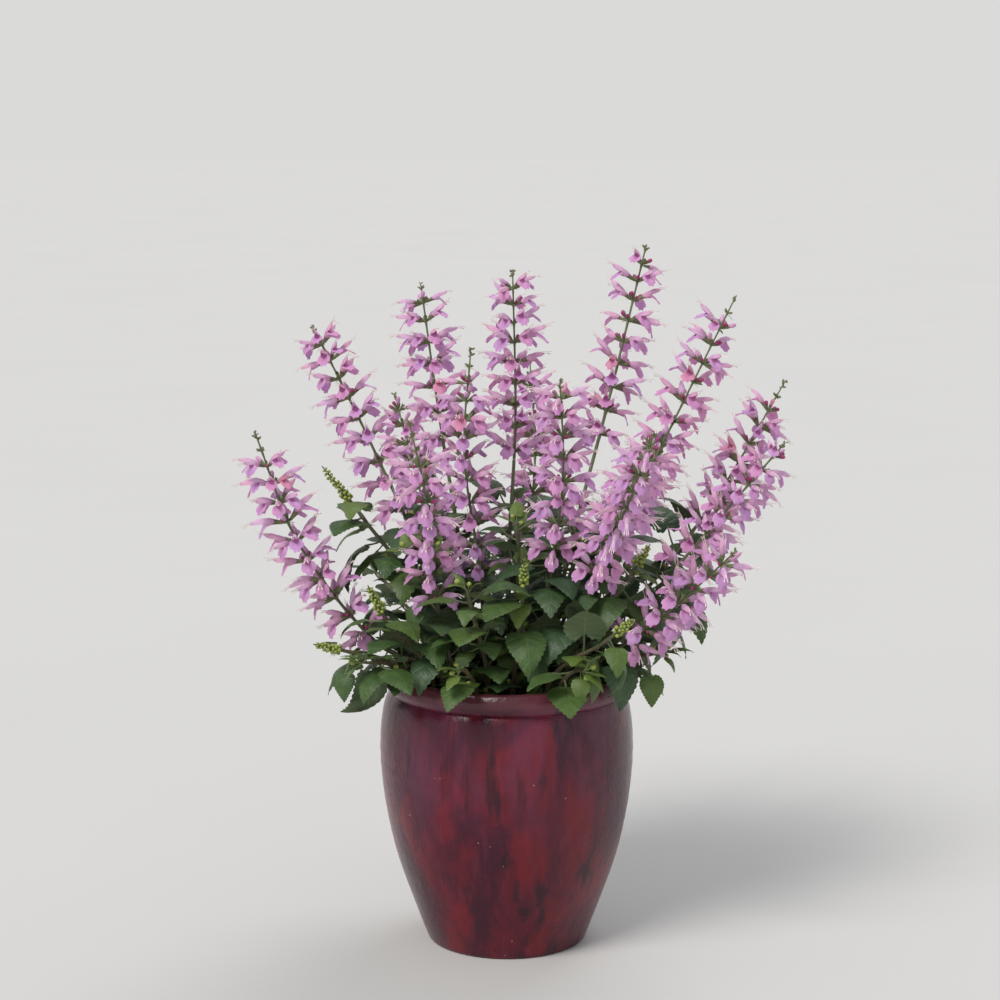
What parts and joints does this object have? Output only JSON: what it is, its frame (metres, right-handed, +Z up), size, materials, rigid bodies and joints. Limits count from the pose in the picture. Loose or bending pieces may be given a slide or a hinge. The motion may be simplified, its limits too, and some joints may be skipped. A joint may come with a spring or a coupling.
{
  "type": "potted tropical sage",
  "caption": "Bushy tropical sage in bloom, with tall spikes of two-lipped lavender flowers above toothed leaves, planted in a round dark red glazed pot with a rolled rim.",
  "frame": {"origin": "Centre of the pot's flat foot, on the surface that the pot stands on.", "axes": "+Z is up along the pot's axis, +X is to the right and +Y points away from the viewer in the picture."},
  "size_m": [0.5874, 0.456, 0.7471],
  "materials": {
    "pot": "gloss",
    "soil": "matte",
    "leaves": "satin",
    "young_leaves": "satin",
    "flowers": "satin"
  },
  "bodies": {
    "root": {"pot": "pot", "soil": "soil", "raceme_back_centre": "flowers", "raceme_back_left": "flowers", "raceme_back_right": "flowers", "raceme_centre_left": "flowers", "raceme_centre_left_tall": "flowers", "raceme_centre_tall": "flowers", "raceme_far_left": "flowers", "raceme_far_right": "flowers", "raceme_far_right_back": "flowers", "raceme_front_centre": "flowers", "raceme_front_left": "flowers", "raceme_front_right": "flowers", "raceme_left_tall": "flowers", "raceme_low_right": "flowers", "raceme_right_tall": "flowers", "raceme_right_tallest": "flowers", "shoot_back_low": "young_leaves", "shoot_back_low_left": "young_leaves", "shoot_back_low_right": "young_leaves", "shoot_back_rim_left": "young_leaves", "shoot_back_rim_right": "young_leaves", "shoot_centre": "young_leaves", "shoot_front": "young_leaves", "shoot_front_left": "young_leaves", "shoot_front_right": "young_leaves", "shoot_front_rim": "young_leaves", "shoot_front_rim_right": "young_leaves", "shoot_inner_left": "young_leaves", "shoot_inner_right": "young_leaves", "shoot_left_edge": "young_leaves", "shoot_left_high": "young_leaves", "shoot_left_low": "young_leaves", "shoot_left_mid": "young_leaves", "shoot_left_rim": "young_leaves", "shoot_right": "young_leaves", "shoot_right_edge": "young_leaves", "shoot_right_rim": "young_leaves", "stem_back_centre": "leaves", "stem_back_left": "leaves", "stem_back_right": "leaves", "stem_centre_left": "leaves", "stem_centre_left_tall": "leaves", "stem_centre_tall": "leaves", "stem_far_left": "leaves", "stem_far_right": "leaves", "stem_far_right_back": "leaves", "stem_front_centre": "leaves", "stem_front_left": "leaves", "stem_front_right": "leaves", "stem_left_tall": "leaves", "stem_low_right": "leaves", "stem_right_tall": "leaves", "stem_right_tallest": "leaves"}
  },
  "joints": []
}
